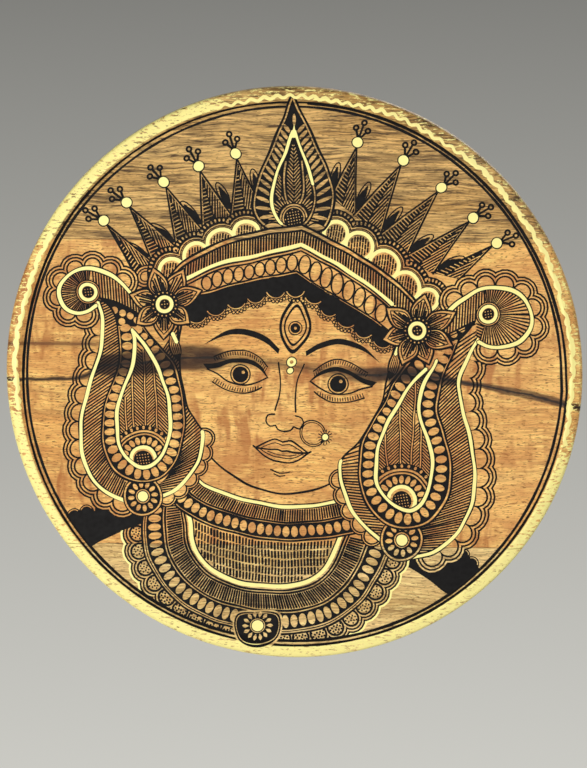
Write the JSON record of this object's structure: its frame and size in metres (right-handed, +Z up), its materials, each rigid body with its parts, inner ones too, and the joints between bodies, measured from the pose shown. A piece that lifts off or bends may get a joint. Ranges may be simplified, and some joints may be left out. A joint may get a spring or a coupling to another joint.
{
  "type": "wooden wall plate",
  "caption": "Round turned wooden wall plate with a raised lip on its painted face, and a strap hanger with a D-ring and rubber bumpers on its flat back.",
  "frame": {"origin": "centre of the flat wooden back", "axes": "+Z up as the plate hangs, +Y out of the back towards the wall, the painted face looking along -Y"},
  "size_m": [0.305, 0.0201, 0.305],
  "materials": {
    "upper_wood": "clear-lacquered mango wood, yellow-brown with wavy grain",
    "middle_wood": "clear-lacquered mango wood, orange-brown with short pores",
    "lower_wood": "clear-lacquered mango wood, tan with coarse grain",
    "plated_steel": "brass-plated steel strip",
    "ring_steel": "brass-plated steel wire",
    "screw_steel": "plain zinc-plated steel",
    "bumper_rubber": "matt black rubber"
  },
  "bodies": {
    "plate": {"upper_board": "upper_wood", "middle_board": "middle_wood", "lower_board": "lower_wood", "hanger_strap": "plated_steel", "strap_screw_1": "screw_steel", "strap_screw_2": "screw_steel", "left_bumper": "bumper_rubber", "right_bumper": "bumper_rubber"},
    "ring": {"d_ring": "ring_steel"}
  },
  "joints": [
    {"name": "ring_hinge", "type": "hinge", "parent": "plate", "child": "ring", "pos_m": [0, 0.0024, 0.122], "axis": [-1, 0, 0], "range_deg": [-5, 175]}
  ]
}
